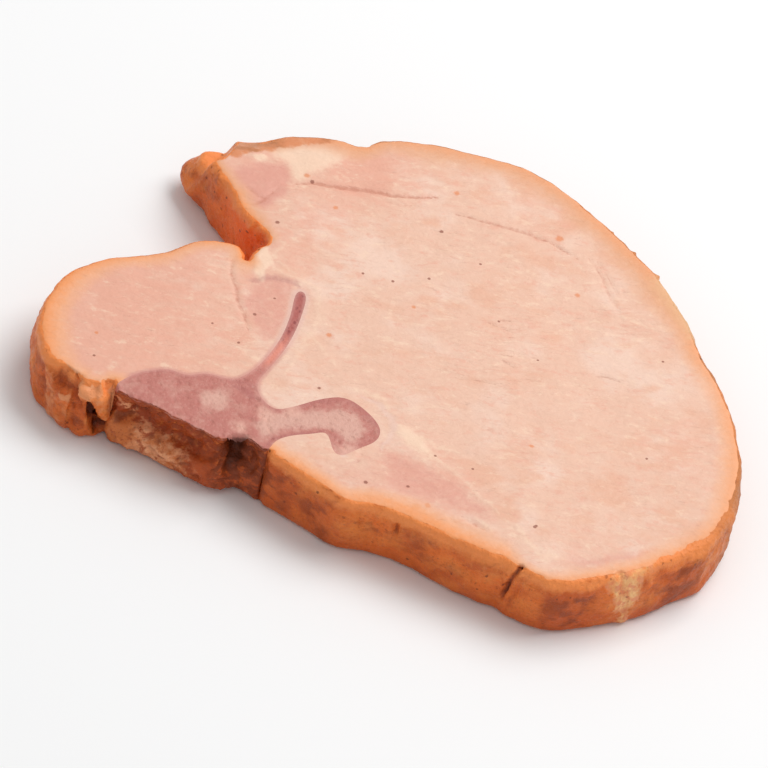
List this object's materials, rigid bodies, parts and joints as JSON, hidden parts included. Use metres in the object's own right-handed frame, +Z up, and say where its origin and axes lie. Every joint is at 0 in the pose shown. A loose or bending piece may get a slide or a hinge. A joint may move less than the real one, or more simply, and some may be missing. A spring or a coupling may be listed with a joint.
{
  "type": "smoked pork chop",
  "caption": "Bone-in slice of smoked pork loin with an orange-brown rind edge, a thin flap, a tenderloin lobe and a chine bone let into one side.",
  "frame": {"origin": "middle of the slice's bounding box, on the surface it rests on", "axes": "+Z up out of the cut face, +X along the slice from the tenderloin lobe to the rind, +Y from the bone side to the back"},
  "size_m": [0.1206, 0.0978, 0.0122],
  "materials": {
    "meat": "moist pale pink cured lean with cream fat seams and an orange-brown smoked rind",
    "bone": "damp mauve porous cut bone, dark brown smoked on its bare side"
  },
  "bodies": {
    "root": {"meat": "meat", "bone": "bone"}
  },
  "joints": []
}
